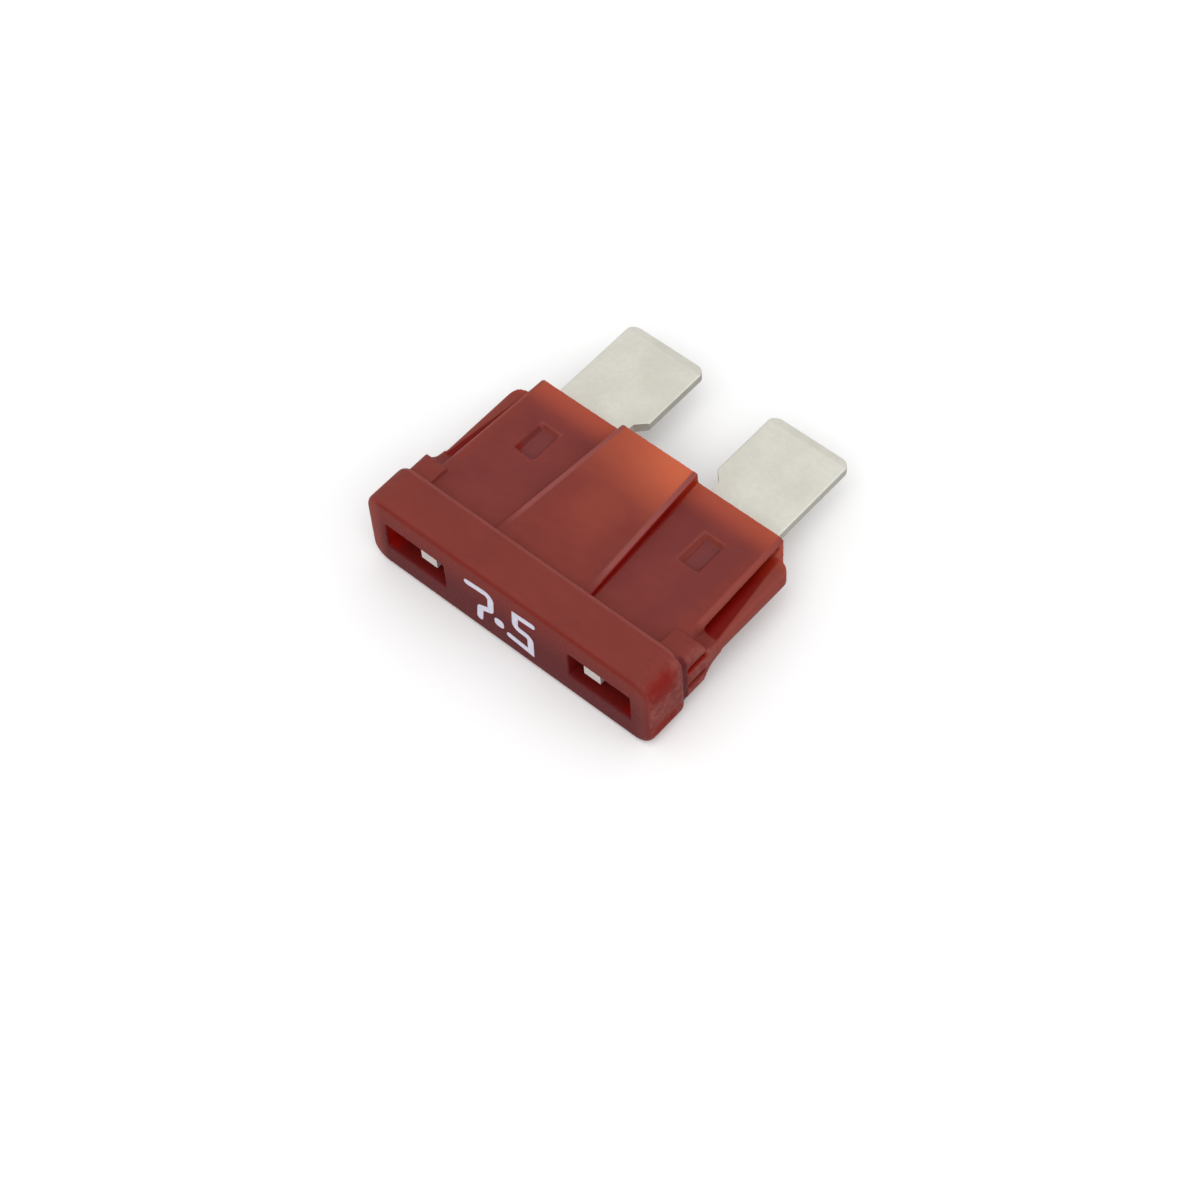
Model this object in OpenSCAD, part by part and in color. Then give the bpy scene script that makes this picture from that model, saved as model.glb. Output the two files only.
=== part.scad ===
// Regular blade fuse: a stamped fuse element staked into a one-piece moulded housing.
// X runs across the width, Y from the head towards the blade tips and Z out of the broad face.
// The modules put Y = 0 at the head's outer face and Z = 0 at the mid-plane, and place() moves
// the fuse onto its origin, under the middle of its box with the head's back face at Z = 0.

/* [Overall length] */
// From the head's outer face to the blade tips
overall_l = 18.7; // [17.8:0.1:19.5]
// From the head's outer face to the housing's blade end
body_l = 12.2; // [11.8:0.1:12.9]

/* [Head] */
// Width of the head
head_w = 19.3; // [19.2:0.1:20]
// Thickness of the head
head_t = 5.3; // [4.9:0.1:5.8]
// Depth of the head, from its outer face to the shoulder
head_d = 2.8; // [2.5:0.1:3]
// Radius of the four corners that run along the head's depth
head_corner_r = 1.1; // [0.8:0.1:1.5]
// Rounding of the head's rims
head_rim_r = 0.35; // [0.2:0.05:0.5]

/* [Test windows] */
// Length of a window along the head
window_l = 4.1; // [3.4:0.1:4.3]
// Height of a window
window_h = 1.9; // [1.4:0.1:2.2]
// Distance between the two windows
window_gap = 8.5; // [8:0.1:8.8]
// Depth of a window
window_d = 2; // [1.6:0.1:2.2]

/* [Body] */
// Width over the side fields at the blade end
field_w_tip = 16.6; // [16.2:0.1:17]
// Width over the side fields where they run into the head
field_w_head = 17.4; // [17:0.1:17.8]
// Thickness over the side fields at the blade end
field_t_tip = 2.5; // [2.4:0.1:2.9]
// Thickness over the side fields where they run into the head
field_t_head = 3.3; // [3:0.1:3.6]
// Rounding of the side fields' long edges at the blade end
field_r_tip = 0.25; // [0.1:0.05:0.4]
// Rounding of the side fields' long edges where they run into the head
field_r_head = 0.7; // [0.3:0.1:0.9]

/* [Centre panel] */
// Width of the raised panel at the blade end
panel_w_tip = 5.2; // [4.9:0.1:5.6]
// Width of the raised panel where it runs into the head
panel_w_head = 6.8; // [6:0.1:7.4]
// Thickness over the raised panel
panel_t = 3.9; // [3.7:0.1:4.2]
// Rounding of the panel's long edges
panel_r = 0.12; // [0.05:0.01:0.2]

/* [Shoulders] */
// Distance between the two shoulders' inner walls
shoulder_gap = 15.6; // [15.2:0.1:16]
// Thickness over the shoulders
shoulder_t = 3.8; // [3.6:0.1:4.2]
// Length of the shoulders' level part beyond the head
shoulder_l = 1.15; // [1:0.05:1.5]
// Length of the curved slope from the shoulders down to the side ribs
shoulder_slope_l = 1.8; // [1.5:0.1:2.1]
// Rounding at the top of that slope
shoulder_top_r = 0.5; // [0.3:0.05:0.7]
// Rounding of the shoulders' long corners
shoulder_r = 0.6; // [0.4:0.05:0.9]
// Distance from the head to the small pocket in each shoulder's outer face
pocket_setback = 0.4; // [0.2:0.05:0.6]
// Length of that pocket
pocket_l = 1.3; // [1:0.1:1.4]
// Height of that pocket
pocket_h = 0.4; // [0.3:0.05:0.5]
// Depth of that pocket
pocket_d = 0.35; // [0.2:0.05:0.5]

/* [Side ribs and grooves] */
// Width over the two side ribs and the shoulders
rib_w = 19; // [18.6:0.1:19.2]
// Thickness of a side rib
rib_t = 1; // [0.8:0.05:1.1]
// How far short of the blade end a rib stops
rib_setback = 0.7; // [0.5:0.1:1.3]
// Radius of a rib's rounded end
rib_end_r = 0.9; // [0.5:0.1:1]
// Rounding of a rib's two outer edges
rib_edge_r = 0.3; // [0.15:0.05:0.35]
// Distance from the head to the start of the groove beside each rib
groove_start = 2.85; // [2.6:0.05:3]
// Height of that groove
groove_h = 0.45; // [0.3:0.05:0.5]
// Width over the floors of the grooves
groove_floor_w = 15.8; // [15.7:0.05:16]

/* [Chamber and slot] */
// Width of the link chamber behind the centre panel
chamber_w = 4.2; // [4:0.1:4.4]
// Thickness of the link chamber
chamber_t = 2.4; // [2:0.1:2.6]
// Plastic between a window and the slot for the fuse element
tab_bridge = 2.3; // [2:0.1:2.5]
// Gap around the fuse element in its slot
fit_gap = 0.04; // [0.02:0.01:0.06]
// Bevel at the slot's mouth
mouth_bevel = 0.2; // [0.1:0.05:0.25]

/* [Stakes] */
// Distance from the middle to a stake and to a test tab
stake_x = 5.6; // [5.4:0.1:5.9]
// Distance of the stakes from the housing's blade end
stake_setback = 3.35; // [3.15:0.1:3.75]
// Width of the dimple that the staking tool leaves
dimple_w = 1.4; // [1.2:0.1:1.7]
// Length of that dimple
dimple_l = 2.2; // [1.7:0.1:2.3]
// Depth of that dimple
dimple_d = 0.45; // [0.3:0.05:0.6]
// How far each wall of the dimple slopes inwards
dimple_slope = 0.2; // [0.1:0.05:0.3]
// Width of the plastic driven through the fuse element
stake_w = 1; // [0.8:0.1:1.1]
// Length of the plastic driven through the fuse element
stake_l = 1.5; // [1.2:0.1:1.6]

/* [Blades] */
// Width of a blade
blade_w = 5.2; // [5.1:0.05:5.3]
// Thickness of the sheet
blade_t = 0.65; // [0.6:0.01:0.7]
// Distance between the middles of the blades
blade_pitch = 9.9; // [9.8:0.05:10]
// Radius of a blade's two corners
blade_corner_r = 0.6; // [0.3:0.1:0.9]
// Length of the coined bevel at a blade's tip
tip_bevel_l = 0.5; // [0.3:0.1:0.9]
// Depth of that bevel on each face
tip_bevel_d = 0.12; // [0.06:0.02:0.2]
// Coined bevel along a blade's long edges
edge_bevel = 0.08; // [0.04:0.01:0.12]
// How much the inner edge steps back at the housing
neck_step = 0.6; // [0.4:0.1:0.7]
// Length of the neck outside the housing
neck_l = 1.2; // [1:0.1:1.6]

/* [Test tabs and link] */
// Width of a test tab
tab_w = 1.1; // [0.9:0.1:1.3]
// How far a tab's tip lies behind the head's outer face
tab_recess = 0.3; // [0.2:0.05:0.6]
// Distance from the tab's root to the link's first run
link_offset = 1.1; // [0.9:0.1:1.3]
// Rise of the link from one blade to the other
link_rise = 3.4; // [3:0.1:3.8]
// Width of the link
link_w = 0.8; // [0.6:0.1:1]
// Thickness that the sheet is skived to at the link
link_t = 0.3; // [0.2:0.05:0.4]
// Middle radius of the link's two bends
link_r = 0.9; // [0.7:0.1:1]
// Width of the link's narrow spot
link_spot_w = 0.4; // [0.3:0.05:0.5]

/* [Hidden] */
// Facets of whole circles, and of the circles inside a hull
$fn = 64;
hull_fn = 32;
// Steps of an arc that is part of an outline
arc_steps = 8;
// Thickness of the slices that a loft spans, and how far a cutter passes a face
slice = 0.01;
over = 1;
// Where the lofts of the body start, inside the head
root_y = head_d / 2;
// Half sizes of the slot that holds the fuse element
slot_x = blade_pitch / 2 + blade_w / 2 + fit_gap;
slot_z = blade_t / 2 + fit_gap;
// End of the slot behind the head, and the root of the test tabs in it
slot_y = window_d + tab_bridge;
tab_root_y = slot_y + fit_gap;
// Middle of the stakes along the body, and the side field's half thickness there
stake_y = body_l - stake_setback;
stake_share = (body_l - stake_y) / (body_l - root_y);
field_z = (field_t_tip + (field_t_head - field_t_tip) * stake_share) / 2;
// Inner and outer edges of a blade, and the inner edge of its neck
blade_in = blade_pitch / 2 - blade_w / 2;
blade_out = blade_pitch / 2 + blade_w / 2;
neck_in = blade_in + neck_step;
// Start of the blade's full width
wide_y = body_l + neck_l;
// The link's two runs, the lower on the left and the upper on the right
link_y0 = tab_root_y + link_offset;
link_y1 = link_y0 + link_rise;
// Where a side rib starts inside the body, and where it ends short of the blades
rib_root_x = groove_floor_w / 2 - over;
rib_end_y = body_l - rib_setback;
plastic = [0.56, 0.21, 0.18];
plating = [0.78, 0.77, 0.73];

module place() {
    translate([0, -overall_l / 2, head_t / 2]) children();
}

module both_sides() {
    for (side = [0, 1]) mirror([side, 0, 0]) children();
}

module both_faces() {
    for (face = [0, 1]) mirror([0, 0, face]) children();
}

// Points along an arc about a centre, from one angle to another
function arc(centre, r, from, to) =
    [for (i = [0:arc_steps]) let (a = from + (to - from) * i / arc_steps)
        centre + r * [cos(a), sin(a)]];

// The corner posts of a block across the fuse, from y0 to y1, for a hull to fill
module cross_block(y0, y1, w, t, r) {
    translate([0, y1, 0]) rotate([90, 0, 0]) linear_extrude(y1 - y0)
        for (x = [r - w / 2, w / 2 - r], z = [r - t / 2, t / 2 - r])
            translate([x, z]) circle(r, $fn = hull_fn);
}

// The head: a block whose corners and rims are rounded
module head() {
    ring_r = head_corner_r - head_rim_r;
    hull()
        for (x = [-1, 1], z = [-1, 1], y = [head_rim_r, head_d - head_rim_r])
            translate([x * (head_w / 2 - head_corner_r), y, z * (head_t / 2 - head_corner_r)])
                rotate([90, 0, 0])
                    rotate_extrude($fn = hull_fn)
                        translate([ring_r, 0]) circle(head_rim_r, $fn = hull_fn);
}

// The body narrows and thins from the head to the blade end
module side_fields() {
    hull() {
        cross_block(root_y, root_y + slice, field_w_head, field_t_head, field_r_head);
        cross_block(body_l - slice, body_l, field_w_tip, field_t_tip, field_r_tip);
    }
}

module centre_panel() {
    hull() {
        cross_block(root_y, root_y + slice, panel_w_head, panel_t, panel_r);
        cross_block(body_l - slice, body_l, panel_w_tip, panel_t, panel_r);
    }
}

// Half the shoulder's side view: level beside the head, then an S-curve down to the side rib
module shoulder_profile() {
    level_y = head_d + shoulder_l;
    slope_y = level_y + shoulder_slope_l;
    drop = (shoulder_t - rib_t) / 2;
    foot_r = (shoulder_slope_l ^ 2 + drop ^ 2) / (2 * drop) - shoulder_top_r;
    top = [level_y, shoulder_t / 2 - shoulder_top_r];
    foot = [slope_y, rib_t / 2 + foot_r];
    lean = atan2(foot[1] - top[1], foot[0] - top[0]);
    polygon([[root_y, 0], [root_y, shoulder_t / 2], each arc(top, shoulder_top_r, 90, lean),
             each arc(foot, foot_r, lean + 180, 270), [slope_y, 0]]);
}

module shoulders() {
    intersection() {
        hull() cross_block(0, body_l, rib_w, shoulder_t, shoulder_r);
        both_sides() both_faces()
            translate([shoulder_gap / 2, 0, 0]) rotate([90, 0, 90]) linear_extrude(rib_w) shoulder_profile();
    }
}

// Outline of a rib seen from the front, with a rounded end short of the blade end
module rib_plan() {
    translate([rib_root_x, head_d]) square([rib_w / 2 - rib_root_x, rib_end_y - rib_end_r - head_d]);
    translate([rib_root_x, head_d]) square([rib_w / 2 - rib_end_r - rib_root_x, rib_end_y - head_d]);
    translate([rib_w / 2 - rib_end_r, rib_end_y - rib_end_r]) circle(rib_end_r);
}

// Section across a rib, with its outer edges rounded
module rib_section() {
    inner_z = rib_t / 2 - rib_edge_r;
    translate([rib_root_x, -rib_t / 2]) square([rib_w / 2 - rib_edge_r - rib_root_x, rib_t]);
    translate([rib_root_x, -inner_z]) square([rib_w / 2 - rib_root_x, 2 * inner_z]);
    for (z = [-inner_z, inner_z]) translate([rib_w / 2 - rib_edge_r, z]) circle(rib_edge_r);
}

module side_rib() {
    intersection() {
        translate([0, 0, -rib_t]) linear_extrude(2 * rib_t) rib_plan();
        translate([0, body_l, 0]) rotate([90, 0, 0]) linear_extrude(body_l) rib_section();
    }
}

// Groove between a side rib and the front wall, open at the blade end
module side_groove() {
    start_y = head_d + groove_start;
    translate([groove_floor_w / 2, start_y, rib_t / 2])
        cube([rib_w, body_l - start_y + over, groove_h]);
}

// Small pocket in the shoulder's outer face, in line with the groove
module shoulder_pocket() {
    translate([rib_w / 2 - pocket_d, head_d + pocket_setback, rib_t / 2])
        cube([rib_w, pocket_l, pocket_h]);
}

module test_window() {
    translate([window_gap / 2, -over, -window_h / 2]) cube([window_l, window_d + over, window_h]);
}

// Narrow channel that brings the test tab from the slot to its window
module tab_channel() {
    half_w = tab_w / 2 + fit_gap;
    translate([stake_x - half_w, window_d - slice, -slot_z])
        cube([2 * half_w, tab_bridge + 2 * slice, 2 * slot_z]);
}

// Flat slot for the fuse element, with a bevelled mouth at the blade end
module element_slot() {
    translate([-slot_x, slot_y, -slot_z]) cube([2 * slot_x, body_l - slot_y + over, 2 * slot_z]);
    translate([-slot_x, 0, 0]) rotate([90, 0, 90]) linear_extrude(2 * slot_x)
        polygon([[body_l - mouth_bevel, -slot_z], [body_l, -slot_z - mouth_bevel],
                 [body_l + over, -slot_z - mouth_bevel], [body_l + over, slot_z + mouth_bevel],
                 [body_l, slot_z + mouth_bevel], [body_l - mouth_bevel, slot_z]]);
}

module link_chamber() {
    translate([-chamber_w / 2, slot_y, -chamber_t / 2])
        cube([chamber_w, body_l - slot_y + over, chamber_t]);
}

// Section through the dimple's sloping walls
module dimple_section(half_w) {
    polygon([[dimple_slope - half_w, field_z - dimple_d], [half_w - dimple_slope, field_z - dimple_d],
             [half_w, field_z], [half_w, field_z + over], [-half_w, field_z + over], [-half_w, field_z]]);
}

module dimple() {
    translate([stake_x, stake_y, 0]) intersection() {
        translate([0, dimple_l / 2, 0]) rotate([90, 0, 0]) linear_extrude(dimple_l) dimple_section(dimple_w / 2);
        translate([-dimple_w / 2, 0, 0]) rotate([90, 0, 90]) linear_extrude(dimple_w) dimple_section(dimple_l / 2);
    }
}

// Plastic driven through the hole in the fuse element, joining the two walls
module stake() {
    translate([stake_x - stake_w / 2, stake_y - stake_l / 2, -slot_z - slice])
        cube([stake_w, stake_l, 2 * (slot_z + slice)]);
}

module housing() {
    color(plastic) place() {
        difference() {
            union() {
                head();
                side_fields();
                centre_panel();
                shoulders();
                both_sides() side_rib();
            }
            both_sides() {
                both_faces() {
                    side_groove();
                    shoulder_pocket();
                    dimple();
                }
                test_window();
                tab_channel();
            }
            element_slot();
            link_chamber();
        }
        both_sides() stake();
    }
}

// Outline of a blade and its neck, with a slanted step on the inner edge
module blade_plan() {
    straight_y = overall_l - blade_corner_r;
    polygon([[neck_in, tab_root_y], [blade_out, tab_root_y], [blade_out, straight_y], [blade_in, straight_y],
             [blade_in, wide_y + neck_step], [neck_in, wide_y]]);
    translate([blade_in + blade_corner_r, straight_y - slice])
        square([blade_w - 2 * blade_corner_r, blade_corner_r + slice]);
    for (x = [blade_in + blade_corner_r, blade_out - blade_corner_r])
        translate([x, straight_y]) circle(blade_corner_r);
}

// Section across a blade, with its long edges bevelled
module edge_section() {
    half_t = blade_t / 2;
    polygon([[blade_in, -half_t + edge_bevel], [blade_in + edge_bevel, -half_t],
             [blade_out - edge_bevel, -half_t], [blade_out, -half_t + edge_bevel],
             [blade_out, half_t - edge_bevel], [blade_out - edge_bevel, half_t],
             [blade_in + edge_bevel, half_t], [blade_in, half_t - edge_bevel]]);
}

// Section along a blade, with its tip coined thinner
module tip_section() {
    half_t = blade_t / 2;
    bevel_y = overall_l - tip_bevel_l;
    polygon([[0, -half_t], [bevel_y, -half_t], [overall_l, -half_t + tip_bevel_d],
             [overall_l, half_t - tip_bevel_d], [bevel_y, half_t], [0, half_t]]);
}

module blade() {
    hole_w = stake_w + 2 * fit_gap;
    hole_l = stake_l + 2 * fit_gap;
    difference() {
        intersection() {
            translate([0, 0, -blade_t]) linear_extrude(2 * blade_t) blade_plan();
            translate([0, overall_l, 0]) rotate([90, 0, 0]) linear_extrude(overall_l) edge_section();
            rotate([90, 0, 90]) linear_extrude(head_w) tip_section();
        }
        translate([stake_x - hole_w / 2, stake_y - hole_l / 2, -blade_t])
            cube([hole_w, hole_l, 2 * blade_t]);
    }
}

module test_tab() {
    translate([stake_x - tab_w / 2, tab_recess, -blade_t / 2])
        cube([tab_w, tab_root_y + slice - tab_recess, blade_t]);
}

// Strip of the link from one point to another, both on a line along X or Y
module link_run(x0, x1, y0, y1) {
    translate([x0, y0, -link_t / 2]) cube([x1 - x0, y1 - y0, link_t]);
}

// A quarter bend of the link about its centre, starting at the given angle
module link_bend(x, y, start) {
    translate([x, y, -link_t / 2]) rotate([0, 0, start]) rotate_extrude(angle = 90)
        translate([link_r - link_w / 2, 0]) square([link_w, link_t]);
}

// S-shaped link: in from the left blade, up the middle and out to the right blade
module fuse_link() {
    half_w = link_w / 2;
    spot_y = (link_y0 + link_y1) / 2;
    difference() {
        union() {
            link_run(-neck_in - slice, -link_r, link_y0 - half_w, link_y0 + half_w);
            link_bend(-link_r, link_y0 + link_r, 270);
            link_run(-half_w, half_w, link_y0 + link_r, link_y1 - link_r);
            link_bend(link_r, link_y1 - link_r, 90);
            link_run(link_r, neck_in + slice, link_y1 - half_w, link_y1 + half_w);
        }
        for (side = [-1, 1])
            translate([side * (link_spot_w + link_w) / 2, spot_y, -link_t])
                cylinder(h = 2 * link_t, r = link_w / 2);
    }
}

module fuse_element() {
    color(plating) place() {
        both_sides() {
            blade();
            test_tab();
        }
        fuse_link();
    }
}

housing();
fuse_element();
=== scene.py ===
# Looks of a regular blade fuse: frosted translucent housing, plated element and printed rating.
# Lengths are in metres in the row frame: X across, Y towards the blade tips and Z up.
# In the materials, part_x, part_y and part_z are millimetres from the middle of the head's outer face.
import math

import bmesh
import bpy
from mathutils import Euler, Matrix, Vector


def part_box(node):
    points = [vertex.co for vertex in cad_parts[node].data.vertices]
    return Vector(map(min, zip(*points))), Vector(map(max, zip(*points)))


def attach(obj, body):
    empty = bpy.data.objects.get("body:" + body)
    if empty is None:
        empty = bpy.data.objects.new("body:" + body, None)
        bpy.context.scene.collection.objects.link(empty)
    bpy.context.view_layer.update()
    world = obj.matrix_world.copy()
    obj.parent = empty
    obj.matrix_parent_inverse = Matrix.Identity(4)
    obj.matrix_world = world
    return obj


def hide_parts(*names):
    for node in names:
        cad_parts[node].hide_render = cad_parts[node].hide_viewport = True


MM = 0.001
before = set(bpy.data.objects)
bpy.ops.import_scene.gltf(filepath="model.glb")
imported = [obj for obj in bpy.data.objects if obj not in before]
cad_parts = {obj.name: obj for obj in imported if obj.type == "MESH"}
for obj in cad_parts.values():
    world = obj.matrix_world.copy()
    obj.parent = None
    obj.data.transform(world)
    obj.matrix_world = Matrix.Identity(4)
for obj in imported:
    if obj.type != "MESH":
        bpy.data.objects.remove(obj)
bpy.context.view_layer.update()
housing_low, housing_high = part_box("housing")

# Places that the materials and the print share, in the row frame
FACE_Y = housing_low.y
MIDDLE_Z = (housing_low.z + housing_high.z) / 2

# Sizes of the housing that its colouring follows, in millimetres. Places along Y start at the head's outer
# face, and those along X or Z at the middle.
BODY_END = (housing_high.y - housing_low.y) / MM
HEAD_HALF_W = 9.65
HEAD_HALF_T = 2.65
HEAD_DEPTH = 2.8
SHOULDER_END = 4.6
PANEL_HALF_TIP = 2.6
PANEL_HALF_HEAD = 3.4
PANEL_TOP = 1.95
PANEL_FOOT = 1.32
FIELD_HALF_TIP = 8.3
FIELD_HALF_HEAD = 8.7
FIELD_TOP = 1.55
BLADE_INNER = 2.35
BLADE_OUTER = 7.55
GROOVE_START = 5.65
GROOVE_FLOOR = 7.9
GROOVE_LOW = 0.5
GROOVE_HIGH = 0.95
GROOVE_WALL = 0.35
POCKET_START = 3.08
POCKET_FLOOR = 9.15
WINDOW_INNER = 4.25
WINDOW_OUTER = 8.35
WINDOW_HALF_H = 0.95
SLOT_START = 2.4
SLOT_HALF_W = 7.6
SLOT_HALF_H = 0.5
CHAMBER_HALF_W = 2.2
CHAMBER_HALF_H = 1.21
DIMPLE_X = 5.6
DIMPLE_Y = 8.85
DIMPLE_HALF_W = 0.7
DIMPLE_HALF_L = 1.1
DIMPLE_FLOOR = 0.9

# Where the painted shade on the ribs gives way to a painted highlight, along the line side_x = RIB_SPLIT +
# RIB_SPLIT_SLOPE * part_y
RIB_SPLIT = 10.0
RIB_SPLIT_SLOPE = -0.12

# Finish of the plastic: the roughness of its smooth walls, of its frosted faces and what the grain adds, the
# depth of frost and waviness in millimetres, its gloss, and how much light enters it, how many millimetres
# deep and in what tint
SMOOTH_ROUGHNESS = 0.3
FROSTED_ROUGHNESS = 0.44
GRAIN_ROUGHNESS = 0.08
FROST_DEPTH = 0.006
WAVE_DEPTH = 0.03
PLASTIC_GLOSS = 0.12
LIGHT_SHARE = 0.35
LIGHT_REACH = 0.5
LIGHT_TINT = (1.0, 0.18, 0.1)

# Finish of the plating: how metallic it is, its roughness between specks and on them, the depth of its
# rolling lines and of its pitting in millimetres, and how many millimetres of the test tabs' ends get a
# painted highlight
METALLIC = 0.75
PLATING_ROUGHNESS = 0.5
SPECK_ROUGHNESS = 0.6
LINE_DEPTH = 0.006
PIT_DEPTH = 0.004
TAB_HIGHLIGHT_LENGTH = 0.5

# Finish of the ink and the floor
INK_ROUGHNESS = 0.55
INK_DEPTH = 0.005
FLOOR_ROUGHNESS = 0.8

# Size of the voxels that the housing's soft form is made of, in millimetres, and how they lie askew to the
# part, so that no edge runs almost along them and comes out wavy. After the smoothing, a share of the
# triangles stays.
VOXEL = 0.06
VOXEL_TURN = (0.5, 0.35, 0.65)
SMOOTH_STEPS = 12
KEPT_SHARE = 0.19

# Points of a CAD mesh closer than this become one, in millimetres
WELD_REACH = 0.001

# Width of the element's rounded edges, in millimetres, and the least turn of such an edge, in degrees
ELEMENT_EDGE = 0.03
EDGE_TURN = 25

# Strokes of the rating on the outer face, as X and Z in millimetres from its middle
STROKE_W = 0.4
INK_T = 0.025
ARC_STEPS = 6
SHARPEST_MITRE = 0.4
SEVEN = [(-2.54, 1.1), (-0.9, 1.24), (-1.02, -0.12), (-1.76, -0.46), (-1.87, -1.42)]
SEVEN_BENDS = (0.4, 0.2, 0.2)
FIVE = [(1.92, 1.24), (0.75, 1.16), (0.68, 0.02), (1.7, -0.08), (1.66, -1.4), (0.2, -1.2)]
FIVE_BENDS = (0.0, 0.3, 0.3, 0.0)
DOT_CENTRE = (-0.48, -0.73)
DOT_W = 0.64
DOT_CORNER = 0.24

# The studio: half the floor's side and each light's place and width in metres, and its power in watts
FLOOR_HALF = 1.2
KEY_LIGHT = ((0.12, -0.16, 0.36), 0.42, 0.8)
FILL_LIGHT = ((0.34, 0.10, 0.20), 0.20, 0.15)

# Brightness of the surroundings over the horizon and under it, and where it changes: along Z at the horizon,
# and along X + Y under it
SKY = 0.85
BELOW_LEFT_FRONT = 0.6
BELOW_RIGHT_BACK = 0.28
HORIZON = (-0.15, 0.25)
SIDEWAYS = (-0.3, 0.5)

# The camera, in millimetres from the middle of the head's outer face, with its roll in degrees
CAMERA_PLACE = (61.2, -54.4, 121.3)
CAMERA_AIM = (2.91, 3.98, 0.0)
CAMERA_ROLL = -4.6
CAMERA_LENS = 86.35
SENSOR_W = 36.0
CLIP_START = 0.005


def linear(red, green, blue):
    """The shader's colour for an sRGB colour given from 0 to 255."""
    channels = []
    for value in (red, green, blue):
        share = value / 255
        channels.append(share / 12.92 if share <= 0.04045 else ((share + 0.055) / 1.055) ** 2.4)
    return (*channels, 1.0)


# Colours of the plastic: on its frosted faces, with painted shade over the blades, painted light where light
# comes through, and painted highlights on its edges
FROSTED = linear(118, 49, 42)
PATCHY_AND_LIT = linear(128, 55, 47)
STREAKY = linear(106, 42, 38)
OVER_BLADE = linear(112, 48, 45)
GLOW = linear(185, 91, 62)
EDGE_GLOW = linear(160, 72, 53)
EDGE_HIGHLIGHT = linear(132, 62, 53)
GREY_HIGHLIGHT = linear(134, 70, 66)

# Painted shade in its smooth walls, painted light in its pockets and long corners, the scuffs and painted
# shade of its narrow sides, and the dimples' dull floor
SHADE_RED = linear(108, 8, 3)
SHADE_ORANGE = linear(136, 34, 10)
CORNER_GLOW = linear(119, 14, 5)
RED_GLOW = linear(126, 16, 5)
DUSTY = linear(148, 86, 79)
DUSKY_AND_SHADE = linear(84, 22, 26)
DIMPLE_DULL = linear(115, 55, 54)

# Painted shade on the outer face, in its windows and inside, and painted light on the windows' outer walls
FACE_SHADE_TOP = linear(114, 32, 24)
FACE_SHADE_BOTTOM = linear(88, 14, 18)
WINDOW_SHADE = linear(104, 19, 15)
WINDOW_WALL_LIGHT = linear(142, 10, 4)
INSIDE_SHADE = linear(62, 3, 2)

# Colours of the plating, the painted highlight on its test tabs' ends, the ink and the floor
SILVER = linear(212, 209, 198)
SILVER_LIGHT = linear(222, 220, 210)
SILVER_SPECK = linear(200, 198, 187)
TAB_END_HIGHLIGHT = linear(229, 220, 217)
INK = linear(207, 203, 217)
INK_THIN = linear(196, 193, 208)
FLOOR_DARK = (0.88, 0.88, 0.88, 1.0)
FLOOR_LIGHT = (0.9, 0.9, 0.9, 1.0)


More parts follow.
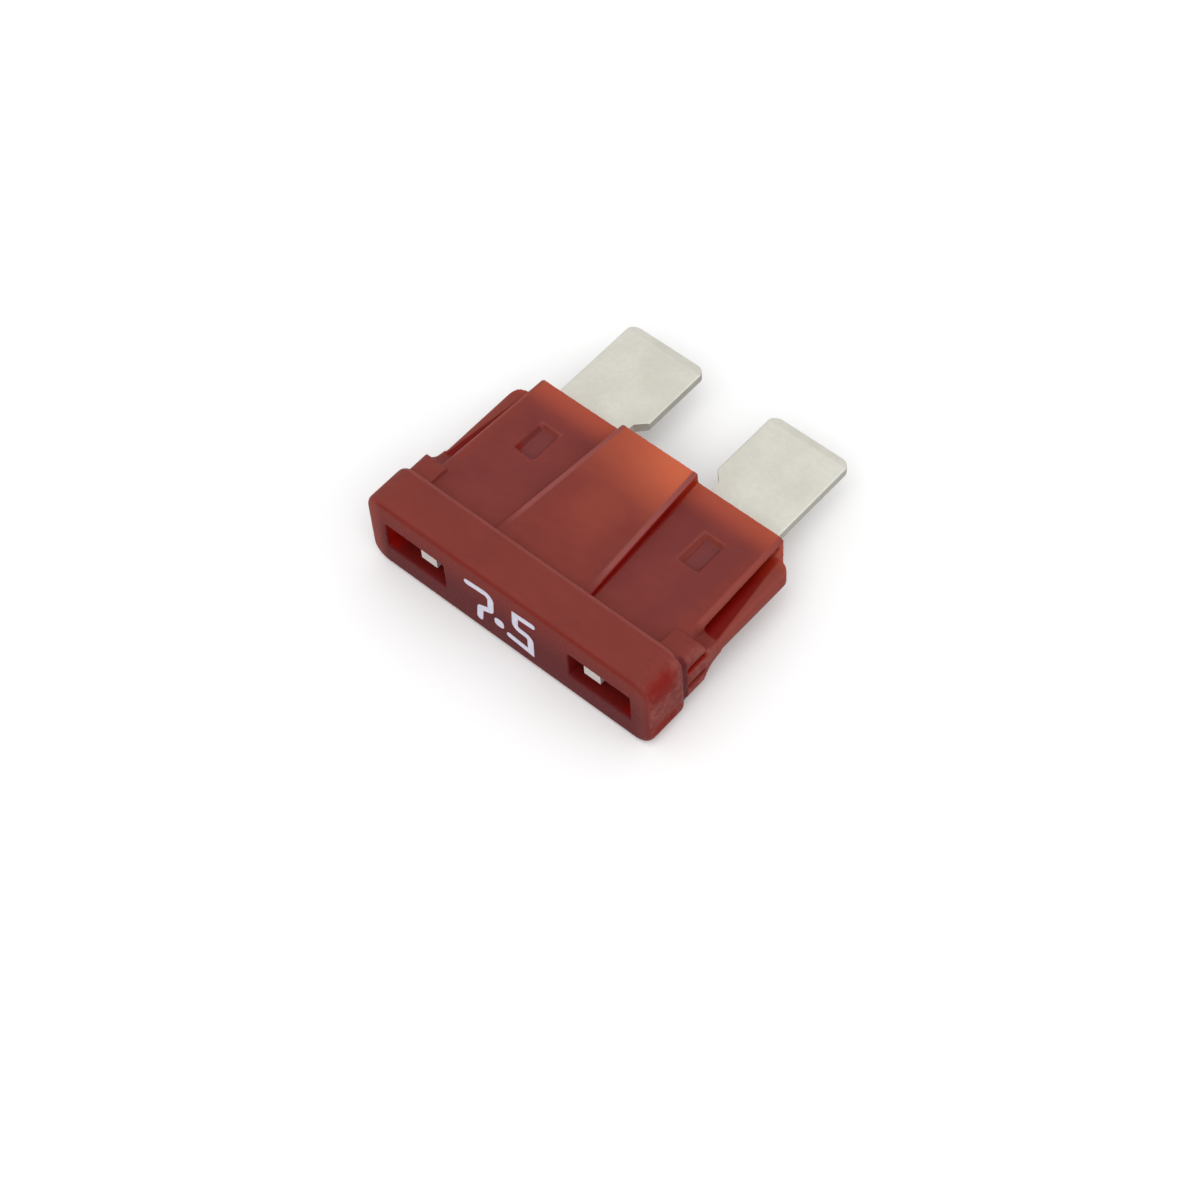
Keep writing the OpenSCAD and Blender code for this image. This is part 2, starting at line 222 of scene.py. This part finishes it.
class Shader:
    """One material's node tree, with short calls for the nodes that this scene uses."""

    def __init__(self, name):
        self.material = bpy.data.materials.new(name)
        self.material.use_nodes = True
        self.tree = self.material.node_tree
        self.surface = self.tree.nodes["Principled BSDF"].inputs

    def put(self, socket, value):
        """Links a node's output to the socket, or sets the socket to a plain value."""
        if isinstance(value, bpy.types.NodeSocket):
            self.tree.links.new(value, socket)
        else:
            socket.default_value = value

    def math(self, operation, *values):
        node = self.tree.nodes.new("ShaderNodeMath")
        node.operation = operation
        for socket, value in zip(node.inputs, values):
            self.put(socket, value)
        return node.outputs[0]

    def times(self, *values):
        product = values[0]
        for value in values[1:]:
            product = self.math("MULTIPLY", product, value)
        return product

    def invert(self, value):
        return self.math("SUBTRACT", 1.0, value)

    def between(self, share, start, end):
        """Start where the share is 0, end where it is 1, and on the straight line through them elsewhere."""
        return self.math("MULTIPLY_ADD", share, end - start, start)

    def rise(self, value, low, high):
        """0 where value is under low, 1 where it is over high, and smooth between them."""
        node = self.tree.nodes.new("ShaderNodeMapRange")
        node.interpolation_type = "SMOOTHSTEP"
        self.put(node.inputs["Value"], value)
        self.put(node.inputs["From Min"], low)
        self.put(node.inputs["From Max"], high)
        return node.outputs["Result"]

    def fall(self, value, low, high):
        """1 where value is under low, 0 where it is over high, and smooth between them."""
        return self.invert(self.rise(value, low, high))

    def within(self, value, low, high, soft):
        """1 where value lies between low and high, with soft borders of that width."""
        start = self.rise(value, low - soft / 2, low + soft / 2)
        return self.times(start, self.fall(value, high - soft / 2, high + soft / 2))

    def mix(self, under, over, mask):
        node = self.tree.nodes.new("ShaderNodeMix")
        node.data_type = "RGBA"
        self.put(node.inputs["Factor"], mask)
        self.put(node.inputs["A"], under)
        self.put(node.inputs["B"], over)
        return node.outputs["Result"]

    def places(self):
        """The point's part_x, part_y and part_z in millimetres."""
        coordinates = self.tree.nodes.new("ShaderNodeTexCoord")
        split = self.tree.nodes.new("ShaderNodeSeparateXYZ")
        self.put(split.inputs[0], coordinates.outputs["Object"])
        starts = (0.0, FACE_Y, MIDDLE_Z)
        return [self.math("MULTIPLY", self.math("SUBTRACT", output, start), 1 / MM)
                for output, start in zip(split.outputs, starts)]

    def facing(self, axis):
        """How far the surface faces along the axis, from -1 to 1."""
        geometry = self.tree.nodes.new("ShaderNodeNewGeometry")
        split = self.tree.nodes.new("ShaderNodeSeparateXYZ")
        self.put(split.inputs[0], geometry.outputs["True Normal"])
        return split.outputs[axis]

    def noise(self, per_mm, detail=2.0, roughness=0.5, stretch=(1, 1, 1)):
        """Noise with that many features to the millimetre, from about 0.2 to 0.8."""
        coordinates = self.tree.nodes.new("ShaderNodeTexCoord")
        mapping = self.tree.nodes.new("ShaderNodeMapping")
        mapping.inputs["Scale"].default_value = [per_mm / MM * share for share in stretch]
        self.put(mapping.inputs["Vector"], coordinates.outputs["Object"])
        node = self.tree.nodes.new("ShaderNodeTexNoise")
        self.put(node.inputs["Vector"], mapping.outputs["Vector"])
        node.inputs["Scale"].default_value = 1.0
        node.inputs["Detail"].default_value = detail
        node.inputs["Roughness"].default_value = roughness
        return node.outputs["Fac"]

    def bump(self, height, depth_mm, strength=1.0, under=None):
        node = self.tree.nodes.new("ShaderNodeBump")
        node.inputs["Distance"].default_value = depth_mm * MM
        self.put(node.inputs["Strength"], strength)
        self.put(node.inputs["Height"], height)
        if under is not None:
            self.put(node.inputs["Normal"], under)
        return node.outputs["Normal"]


class Plastic(Shader):
    """Brownish-red translucent plastic, with frosted broad faces and smoother narrow walls.

    Each method lays the colours of one region over those before it. The plain numbers in the masks are soft
    borders in millimetres, shares of a colour, or features of a noise to the millimetre.
    """

    def __init__(self):
        super().__init__("plastic")
        self.colour = FROSTED
        self.part_x, self.part_y, self.part_z = self.places()
        self.side_x = self.math("ABSOLUTE", self.part_x)
        self.side_z = self.math("ABSOLUTE", self.part_z)
        to_head = self.math("DIVIDE", self.math("SUBTRACT", BODY_END, self.part_y), BODY_END)
        panel_half = self.between(to_head, PANEL_HALF_TIP, PANEL_HALF_HEAD)
        field_half = self.between(to_head, FIELD_HALF_TIP, FIELD_HALF_HEAD)
        self.off_panel = self.math("SUBTRACT", self.side_x, panel_half)
        self.off_field = self.math("SUBTRACT", self.side_x, field_half)
        self.above_fields = self.rise(self.side_z, FIELD_TOP - 0.1, FIELD_TOP + 0.1)
        self.past_head = self.rise(self.part_y, HEAD_DEPTH + 0.1, HEAD_DEPTH + 0.3)

    def paint(self, colour, *masks):
        """Lays the colour over what is there, as far as all the masks let it."""
        self.colour = self.mix(self.colour, colour, self.times(*masks))

    def frosted_faces(self):
        """The shade of the blades behind the fields, and the clouds and streaks of the moulding."""
        behind = self.times(
            self.within(self.side_x, BLADE_INNER + 0.3, BLADE_OUTER + 0.1, 0.6),
            self.within(self.part_y, HEAD_DEPTH + 0.6, BODY_END - 1.3, 1.6))
        cloud = self.rise(self.noise(0.35, 3.0), 0.35, 0.65)
        streak = self.rise(self.noise(1.6, 4.0, 0.6, (0.35, 1.0, 1.0)), 0.4, 0.7)
        self.paint(OVER_BLADE, behind)
        self.paint(PATCHY_AND_LIT, cloud, 0.4)
        self.paint(STREAKY, streak, 0.3)

    def passing_light(self):
        """Light that comes through the hollow panel and the blade end, most of it on the right."""
        on_panel = self.times(self.fall(self.off_panel, -0.25, -0.05), self.above_fields)
        to_right = self.rise(self.part_x, -PANEL_HALF_TIP, PANEL_HALF_TIP - 0.6)
        from_end = self.times(
            self.rise(self.part_y, BODY_END - 5.0, BODY_END + 0.4), self.between(to_right, 0.54, 1.1))
        in_middle = self.times(
            self.fall(self.side_x, PANEL_HALF_TIP - 2.2, PANEL_HALF_TIP - 0.2),
            self.rise(self.part_y, HEAD_DEPTH + 1.2, HEAD_DEPTH + 4.7), 0.16)
        self.paint(GLOW, on_panel, self.math("MAXIMUM", from_end, in_middle))
        at_end = self.rise(self.part_y, BODY_END - 2.0, BODY_END - 0.1)
        self.paint(EDGE_GLOW, at_end, self.invert(on_panel), 0.9)

    def edge_highlights(self):
        """Painted highlights on the rounded edges: the fields' outer ones, the panel's step and the back of
        the head.
        """
        field_edge = self.times(
            self.rise(self.off_field, -0.34, -0.2),
            self.rise(self.side_z, GROOVE_HIGH, GROOVE_HIGH + 0.06),
            self.rise(self.part_y, GROOVE_START - 0.6, GROOVE_START))
        step_edge = self.times(
            self.within(self.off_panel, -0.32, -0.02, 0.14),
            self.above_fields,
            self.rise(self.part_y, HEAD_DEPTH + 0.4, HEAD_DEPTH + 2.2))
        head_edge = self.times(
            self.within(self.part_y, HEAD_DEPTH - 0.3, HEAD_DEPTH - 0.02, 0.16),
            self.rise(self.side_z, HEAD_HALF_T - 0.35, HEAD_HALF_T - 0.15))
        # Painted highlights along the rounded edges
        self.paint(EDGE_HIGHLIGHT, field_edge)
        self.paint(GREY_HIGHLIGHT, self.math("MAXIMUM", step_edge, self.times(head_edge, 0.6)))

    def smooth_walls(self):
        """Painted shade, deep red, in the panel's step and the grooves, and a painted highlight on the outer
        half of the ribs.

        Returns how far the point lies in a smooth wall, from 0 to 1.
        """
        step_wall = self.times(
            self.within(self.off_panel, -0.03, 0.16, 0.05),
            self.within(self.side_z, PANEL_FOOT, PANEL_TOP - 0.04, 0.08),
            self.past_head)
        rib_split = self.math("MULTIPLY_ADD", self.part_y, RIB_SPLIT_SLOPE, RIB_SPLIT)
        on_rib = self.rise(self.math("SUBTRACT", self.side_x, rib_split), -0.08, 0.08)
        below_edge = self.fall(self.side_z, GROOVE_HIGH - 0.03, GROOVE_HIGH + 0.05)
        groove = self.times(
            below_edge,
            self.invert(on_rib),
            self.rise(self.side_z, GROOVE_LOW - 0.12, GROOVE_LOW - 0.06),
            self.rise(self.side_x, GROOVE_FLOOR - 0.2, GROOVE_FLOOR - 0.1),
            self.rise(self.part_y, GROOVE_START - 0.15, GROOVE_START),
            self.fall(self.part_y, BODY_END - 1.2, BODY_END - GROOVE_WALL))
        smooth = self.math("MAXIMUM", step_wall, groove)
        # Painted shade in the step and the grooves, more orange towards the blade end, where light comes
        # through
        wall_shade = self.mix(SHADE_RED, SHADE_ORANGE, self.rise(self.part_y, BODY_END - 3.0, BODY_END))
        self.paint(wall_shade, smooth)
        # Painted highlight on the outer half of the ribs, fading towards the blade end
        rib_highlight = self.between(self.rise(self.part_y, BODY_END - 2.2, BODY_END - 0.8), 0.7, 0.1)
        self.paint(EDGE_HIGHLIGHT, below_edge, on_rib, self.past_head, rib_highlight)
        return smooth

    def narrow_sides(self):
        """Scuffed ends, painted shade at the step behind the head, painted light through its long corners,
        and pockets painted red by passing light.
        """
        sideways = self.rise(self.math("ABSOLUTE", self.facing("X")), 0.35, 0.8)
        scuff = self.rise(self.noise(2.6, 4.0, 0.6), 0.32, 0.68)
        on_end = self.times(
            sideways,
            self.rise(self.side_x, HEAD_HALF_W - 0.85, HEAD_HALF_W - 0.45),
            self.fall(self.part_y, SHOULDER_END, SHOULDER_END + 1.0))
        self.paint(DUSKY_AND_SHADE, on_end, self.invert(scuff), 0.3)
        self.paint(DUSTY, on_end, scuff, 0.4)
        # Painted shade at the step behind the head
        step_shade = self.times(
            self.within(self.part_y, HEAD_DEPTH - 0.16, HEAD_DEPTH + 0.3, 0.14),
            self.rise(self.side_x, HEAD_HALF_W - 0.65, HEAD_HALF_W - 0.4))
        self.paint(DUSKY_AND_SHADE, step_shade, 0.9)
        # Painted light coming through the head's long corners
        corner = self.times(
            self.rise(self.side_x, HEAD_HALF_W - 0.8, HEAD_HALF_W - 0.35),
            self.within(self.side_z, HEAD_HALF_T - 1.7, HEAD_HALF_T - 0.15, 0.7),
            self.within(self.part_y, 0.25, HEAD_DEPTH - 0.7, 0.9))
        self.paint(CORNER_GLOW, corner, 0.85)
        # Painted light in the pockets, stronger in the upper ones
        pocket = self.times(
            self.within(self.side_z, GROOVE_LOW - 0.08, GROOVE_HIGH + 0.04, 0.14),
            self.rise(self.side_x, POCKET_FLOOR - 0.12, POCKET_FLOOR - 0.04),
            self.within(self.part_y, POCKET_START, SHOULDER_END, 0.2))
        upper = self.rise(self.part_z, -0.2, 0.2)
        self.paint(RED_GLOW, pocket, self.between(upper, 0.3, 1.0))

    def dimples(self):
        """A dull floor in each dimple, with a painted highlight on its inner and blade-end walls, a painted
        spot of light by its outer wall and painted shade at the foot of its inner wall.
        """
        from_middle = self.math("SUBTRACT", self.side_x, DIMPLE_X)
        from_centre = self.math("SUBTRACT", self.part_y, DIMPLE_Y)
        in_dimple = self.times(
            self.within(from_middle, -DIMPLE_HALF_W - 0.05, DIMPLE_HALF_W, 0.1),
            self.within(from_centre, -DIMPLE_HALF_L, DIMPLE_HALF_L + 0.05, 0.1),
            self.rise(self.side_z, DIMPLE_FLOOR - 0.1, DIMPLE_FLOOR - 0.05))
        on_floor = self.fall(self.side_z, DIMPLE_FLOOR + 0.04, DIMPLE_FLOOR + 0.1)
        inner_wall = self.fall(from_middle, 0.22 - DIMPLE_HALF_W, 0.3 - DIMPLE_HALF_W)
        end_wall = self.rise(from_centre, DIMPLE_HALF_L - 0.3, DIMPLE_HALF_L - 0.22)
        wall_highlight = self.times(self.math("MAXIMUM", inner_wall, end_wall), self.invert(on_floor))
        light_spot = self.times(
            self.rise(from_middle, DIMPLE_HALF_W - 0.28, DIMPLE_HALF_W - 0.16),
            self.fall(from_centre, 0.2 - DIMPLE_HALF_L, 0.8 - DIMPLE_HALF_L))
        foot_shade = self.within(from_middle, 0.12 - DIMPLE_HALF_W, 0.26 - DIMPLE_HALF_W, 0.08)
        # Painted highlight on the sloping walls, a painted spot of light and painted shade at the inner
        # wall's foot
        self.paint(DIMPLE_DULL, in_dimple, on_floor)
        self.paint(EDGE_HIGHLIGHT, in_dimple, wall_highlight, 0.8)
        self.paint(RED_GLOW, in_dimple, light_spot, 0.6)
        self.paint(SHADE_RED, in_dimple, foot_shade, on_floor, 0.6)

    def outer_face(self):
        """Painted shade on the outer face, darker towards its lower edge and lighter at its ends, most of all
        the left one, with painted shade in the windows, painted light on their outer walls, and painted shade
        inside.
        """
        outward = self.rise(self.math("MULTIPLY", self.facing("Y"), -1.0), 0.5, 0.9)
        by_window = self.times(
            self.within(self.side_x, WINDOW_INNER - 0.16, WINDOW_OUTER + 0.16, 0.05),
            self.fall(self.side_z, WINDOW_HALF_H + 0.1, WINDOW_HALF_H + 0.18))
        # Painted shade: darker towards the lower edge, lighter towards the ends and most of all at the left
        # end
        face = self.mix(FACE_SHADE_BOTTOM, FACE_SHADE_TOP, self.rise(self.part_z, -0.6, HEAD_HALF_T - 0.45))
        end_light = self.rise(self.side_x, HEAD_HALF_W - 1.25, HEAD_HALF_W - 0.25)
        face = self.mix(face, FROSTED, self.times(end_light, 0.5))
        left_light = self.fall(self.part_x, 0.35 - HEAD_HALF_W, 1.25 - HEAD_HALF_W)
        face = self.mix(face, PATCHY_AND_LIT, left_light)
        on_face = self.math("MAXIMUM", outward, by_window)
        self.paint(face, on_face, self.fall(self.part_y, 0.1, 0.4), 0.95)

        # Painted shade inside the windows, with painted light on their outer walls
        inside = self.times(
            by_window,
            self.rise(self.part_y, 0.08, 0.22),
            self.fall(self.part_y, SLOT_START, SLOT_START + 0.2))
        lit_wall = self.rise(self.side_x, WINDOW_OUTER - 0.95, WINDOW_OUTER - 0.05)
        self.paint(self.mix(WINDOW_SHADE, WINDOW_WALL_LIGHT, lit_wall), inside)
        # Painted shade in the slots and the chamber
        slot = self.times(
            self.fall(self.side_x, SLOT_HALF_W, SLOT_HALF_W + 0.1),
            self.fall(self.side_z, SLOT_HALF_H, SLOT_HALF_H + 0.1))
        chamber = self.times(
            self.fall(self.side_x, CHAMBER_HALF_W, CHAMBER_HALF_W + 0.1),
            self.fall(self.side_z, CHAMBER_HALF_H - 0.03, CHAMBER_HALF_H + 0.03))
        self.paint(
            INSIDE_SHADE, self.math("MAXIMUM", slot, chamber),
            self.rise(self.part_y, SLOT_START - 0.1, SLOT_START + 0.1),
            self.fall(self.part_y, BODY_END - 0.3, BODY_END - 0.1))


def plastic_material():
    plastic = Plastic()
    plastic.frosted_faces()
    plastic.passing_light()
    plastic.edge_highlights()
    smooth = plastic.smooth_walls()
    plastic.narrow_sides()
    plastic.dimples()
    plastic.outer_face()
    surface = plastic.surface
    plastic.put(surface["Base Color"], plastic.colour)

    # The smooth walls have neither the grain nor the frost of the moulding
    frosting = plastic.invert(smooth)
    grain = plastic.rise(plastic.noise(6.0, 2.0), 0.3, 0.7)
    rough = plastic.between(frosting, SMOOTH_ROUGHNESS, FROSTED_ROUGHNESS)
    added = plastic.times(grain, frosting, GRAIN_ROUGHNESS)
    plastic.put(surface["Roughness"], plastic.math("ADD", rough, added))
    frost = plastic.bump(plastic.noise(7.0, 3.0, 0.6), FROST_DEPTH, frosting)
    plastic.put(surface["Normal"], plastic.bump(plastic.noise(0.5, 1.0), WAVE_DEPTH, 0.5, frost))
    surface["Specular IOR Level"].default_value = PLASTIC_GLOSS
    surface["Subsurface Weight"].default_value = LIGHT_SHARE
    surface["Subsurface Radius"].default_value = LIGHT_TINT
    surface["Subsurface Scale"].default_value = LIGHT_REACH * MM
    return plastic.material


def plating_material():
    """Dull silver plating over stamped sheet, with faint rolling lines along the blades and a painted
    highlight on the test tabs' ends.
    """
    shader = Shader("plating")
    cloud = shader.rise(shader.noise(0.45, 3.0), 0.3, 0.7)
    speck = shader.rise(shader.noise(3.5, 3.0, 0.65), 0.35, 0.7)
    lines = shader.noise(2.2, 2.0, 0.6, (4.0, 0.25, 1.0))
    part_y = shader.places()[1]
    colour = shader.mix(SILVER, SILVER_LIGHT, cloud)
    colour = shader.mix(colour, SILVER_SPECK, shader.times(speck, 0.25))
    # Painted highlight on the ends of the test tabs
    colour = shader.mix(colour, TAB_END_HIGHLIGHT, shader.fall(part_y, TAB_HIGHLIGHT_LENGTH, TAB_HIGHLIGHT_LENGTH + 0.7))
    surface = shader.surface
    shader.put(surface["Base Color"], colour)
    surface["Metallic"].default_value = METALLIC
    shader.put(surface["Roughness"], shader.between(speck, PLATING_ROUGHNESS, SPECK_ROUGHNESS))
    rolled = shader.bump(lines, LINE_DEPTH, 0.6)
    shader.put(surface["Normal"], shader.bump(shader.noise(9.0, 2.0), PIT_DEPTH, 0.5, rolled))
    return shader.material


def ink_material():
    """White printing ink, a little uneven."""
    shader = Shader("ink")
    patch = shader.rise(shader.noise(4.0, 2.0), 0.35, 0.7)
    surface = shader.surface
    shader.put(surface["Base Color"], shader.mix(INK, INK_THIN, patch))
    surface["Roughness"].default_value = INK_ROUGHNESS
    shader.put(surface["Normal"], shader.bump(shader.noise(10.0, 2.0), INK_DEPTH, 0.6))
    return shader.material


def floor_material():
    """Plain pale surface, with a trace of unevenness."""
    shader = Shader("pale_floor")
    cloud = shader.rise(shader.noise(0.02, 2.0), 0.3, 0.7)
    surface = shader.surface
    shader.put(surface["Base Color"], shader.mix(FLOOR_DARK, FLOOR_LIGHT, cloud))
    surface["Roughness"].default_value = FLOOR_ROUGHNESS
    return shader.material


def add_object(name, mesh, material):
    piece = bpy.data.objects.new(name, mesh)
    bpy.context.scene.collection.objects.link(piece)
    mesh.materials.clear()
    mesh.materials.append(material)
    return piece


def apply_modifiers(piece):
    graph = bpy.context.evaluated_depsgraph_get()
    mesh = bpy.data.meshes.new_from_object(piece.evaluated_get(graph))
    piece.modifiers.clear()
    piece.data = mesh


def in_row_frame(point):
    """The place in the row frame of a point in millimetres from the middle of the head's outer face."""
    return Vector((point[0] * MM, FACE_Y + point[1] * MM, MIDDLE_Z + point[2] * MM))


def close_groove(work, side, half):
    """A thin wall across one groove's blade end, which merges with the housing in the voxels."""
    low = Vector((GROOVE_FLOOR - 0.2, BODY_END - GROOVE_WALL, GROOVE_LOW - 0.1))
    high = Vector((FIELD_HALF_TIP, BODY_END, GROOVE_HIGH + 0.1))
    middle = (low + high) / 2
    place = in_row_frame((side * middle.x, middle.y, half * middle.z))
    bmesh.ops.create_cube(work, size=MM, matrix=Matrix.LocRotScale(place, None, high - low))


def moulded_housing(material):
    """The housing with the soft edges of a moulding, made from the CAD node's own form."""
    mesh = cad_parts["housing"].data.copy()
    work = bmesh.new()
    work.from_mesh(mesh)
    bmesh.ops.remove_doubles(work, verts=work.verts, dist=WELD_REACH * MM)
    for side in (-1, 1):
        for half in (-1, 1):
            close_groove(work, side, half)
    work.to_mesh(mesh)
    work.free()
    piece = add_object("housing_moulding", mesh, material)

    askew = Euler(VOXEL_TURN).to_matrix().to_4x4()
    mesh.transform(askew)
    remesh = piece.modifiers.new("remesh", "REMESH")
    remesh.mode = "VOXEL"
    remesh.voxel_size = VOXEL * MM
    soften = piece.modifiers.new("soften", "SMOOTH")
    soften.factor = 0.5
    soften.iterations = SMOOTH_STEPS
    thin_out = piece.modifiers.new("thin_out", "DECIMATE")
    thin_out.ratio = KEPT_SHARE
    apply_modifiers(piece)
    piece.data.transform(askew.inverted())
    for polygon in piece.data.polygons:
        polygon.use_smooth = True
    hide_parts("housing")
    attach(piece, "root")


def plated_element(material):
    """The element keeps its CAD form and gets slightly rounded edges."""
    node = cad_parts["fuse_element"]
    for material_slot in node.material_slots:
        material_slot.material = material
    weld = node.modifiers.new("weld", "WELD")
    weld.merge_threshold = WELD_REACH * MM
    bevel = node.modifiers.new("edges", "BEVEL")
    bevel.width = ELEMENT_EDGE * MM
    bevel.segments = 2
    bevel.limit_method = "ANGLE"
    bevel.angle_limit = math.radians(EDGE_TURN)
    bevel.harden_normals = True


def on_circle(angle):
    return Vector((math.cos(angle), math.sin(angle)))


def with_round_bends(points, radii):
    """The line through the points, with an arc of the given radius at each bend between its ends."""
    path = [Vector(point) for point in points]
    rounded = [path[0]]
    for before, bend, after, radius in zip(path, path[1:], path[2:], radii):
        if radius == 0:
            rounded.append(bend)
            continue
        back, on = (before - bend).normalized(), (after - bend).normalized()
        half_angle = back.angle(on) / 2
        reach = radius / math.tan(half_angle)
        centre = bend + (back + on).normalized() * radius / math.sin(half_angle)
        start, end = bend + back * reach - centre, bend + on * reach - centre
        for step in range(ARC_STEPS + 1):
            rounded.append(centre + radius * start.lerp(end, step / ARC_STEPS).normalized())
    return rounded + [path[-1]]


def stroke_outline(path, width):
    """Closed outline of a line of that width along the path, with round ends."""
    headings = [(after - before).normalized() for before, after in zip(path, path[1:])]
    half = width / 2

    def edge(side):
        offsets = []
        for number, point in enumerate(path):
            before = headings[max(number - 1, 0)]
            after = headings[min(number, len(headings) - 1)]
            bisector = (before + after).normalized()
            normal = Vector((-bisector.y, bisector.x))
            reach = half / max(normal.dot(Vector((-before.y, before.x))), SHARPEST_MITRE)
            offsets.append(point + side * normal * reach)
        return offsets

    def cap(centre, heading):
        start = math.atan2(heading.y, heading.x) + math.pi / 2
        return [centre + half * on_circle(start - math.pi * step / ARC_STEPS) for step in range(1, ARC_STEPS)]

    return edge(1) + cap(path[-1], headings[-1]) + edge(-1)[::-1] + cap(path[0], -headings[0])


def rounded_square(centre, width, corner):
    """Closed outline of a square with round corners."""
    quarter_turn = math.pi / 2
    diagonal = (width / 2 - corner) * math.sqrt(2)
    outline = []
    for quarter in range(4):
        start = quarter * quarter_turn
        corner_at = Vector(centre) + diagonal * on_circle(start + quarter_turn / 2)
        for step in range(ARC_STEPS + 1):
            outline.append(corner_at + corner * on_circle(start + quarter_turn * step / ARC_STEPS))
    return outline


def printed_rating(material):
    """The rating, as a thin layer of ink on the head's outer face."""
    work = bmesh.new()
    outlines = [stroke_outline(with_round_bends(SEVEN, SEVEN_BENDS), STROKE_W),
                stroke_outline(with_round_bends(FIVE, FIVE_BENDS), STROKE_W),
                rounded_square(DOT_CENTRE, DOT_W, DOT_CORNER)]
    for outline in outlines:
        back = [work.verts.new(in_row_frame((x, INK_T, z))) for x, z in outline]
        front = [work.verts.new(in_row_frame((x, -INK_T, z))) for x, z in outline]
        work.faces.new(back)
        work.faces.new(front[::-1])
        for number in range(len(outline)):
            following = (number + 1) % len(outline)
            work.faces.new((back[number], front[number], front[following], back[following]))
    bmesh.ops.recalc_face_normals(work, faces=work.faces)
    mesh = bpy.data.meshes.new("rating_print")
    work.to_mesh(mesh)
    work.free()
    piece = add_object("rating_print", mesh, material)
    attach(piece, "root")


def pale_floor():
    mesh = bpy.data.meshes.new("floor")
    corners = [(side_x * FLOOR_HALF, side_y * FLOOR_HALF, 0)
               for side_x, side_y in ((-1, -1), (1, -1), (1, 1), (-1, 1))]
    mesh.from_pydata(corners, [], [(0, 1, 2, 3)])
    floor = add_object("floor", mesh, floor_material())

    # Gloss looks past the floor to the dim lower half of the world
    floor.visible_glossy = False


def soft_ramp(nodes, reach):
    node = nodes.new("ShaderNodeMapRange")
    node.interpolation_type = "SMOOTHSTEP"
    node.inputs["From Min"].default_value, node.inputs["From Max"].default_value = reach
    return node


def white_world():
    """White surroundings, dimmer below the horizon, most of all on the right and behind."""
    world = bpy.data.worlds.new("studio")
    world.use_nodes = True
    nodes, links = world.node_tree.nodes, world.node_tree.links
    direction = nodes.new("ShaderNodeTexCoord")
    split = nodes.new("ShaderNodeSeparateXYZ")
    to_right_back = nodes.new("ShaderNodeMath")
    to_right_back.operation = "ADD"
    below = soft_ramp(nodes, SIDEWAYS)
    below.inputs["To Min"].default_value = BELOW_LEFT_FRONT
    below.inputs["To Max"].default_value = BELOW_RIGHT_BACK
    horizon = soft_ramp(nodes, HORIZON)
    horizon.inputs["To Max"].default_value = SKY
    links.new(direction.outputs["Generated"], split.inputs[0])
    links.new(split.outputs["X"], to_right_back.inputs[0])
    links.new(split.outputs["Y"], to_right_back.inputs[1])
    links.new(to_right_back.outputs[0], below.inputs["Value"])
    links.new(below.outputs["Result"], horizon.inputs["To Min"])
    links.new(split.outputs["Z"], horizon.inputs["Value"])
    links.new(horizon.outputs["Result"], nodes["Background"].inputs["Strength"])
    nodes["Background"].inputs["Color"].default_value = (1.0, 1.0, 1.0, 1.0)
    bpy.context.scene.world = world


def soft_light(name, place, width, power):
    lamp = bpy.data.lights.new(name, "AREA")
    lamp.shape = "DISK"
    lamp.size = width
    lamp.energy = power
    light = bpy.data.objects.new(name, lamp)
    light.location = place
    light.rotation_euler = (-Vector(place)).to_track_quat("-Z", "Y").to_euler()
    bpy.context.scene.collection.objects.link(light)


def add_camera():
    data = bpy.data.cameras.new("camera")
    data.sensor_width = SENSOR_W
    data.lens = CAMERA_LENS
    data.clip_start = CLIP_START
    camera = bpy.data.objects.new("camera", data)
    place = in_row_frame(CAMERA_PLACE)
    look = (in_row_frame(CAMERA_AIM) - place).to_track_quat("-Z", "Y").to_matrix().to_4x4()
    roll = Matrix.Rotation(math.radians(CAMERA_ROLL), 4, "Z")
    camera.matrix_world = Matrix.Translation(place) @ look @ roll
    bpy.context.scene.collection.objects.link(camera)
    bpy.context.scene.camera = camera


bpy.context.scene.view_settings.view_transform = "Standard"
moulded_housing(plastic_material())
plated_element(plating_material())
printed_rating(ink_material())
pale_floor()
white_world()
soft_light("key", *KEY_LIGHT)
soft_light("fill", *FILL_LIGHT)
add_camera()
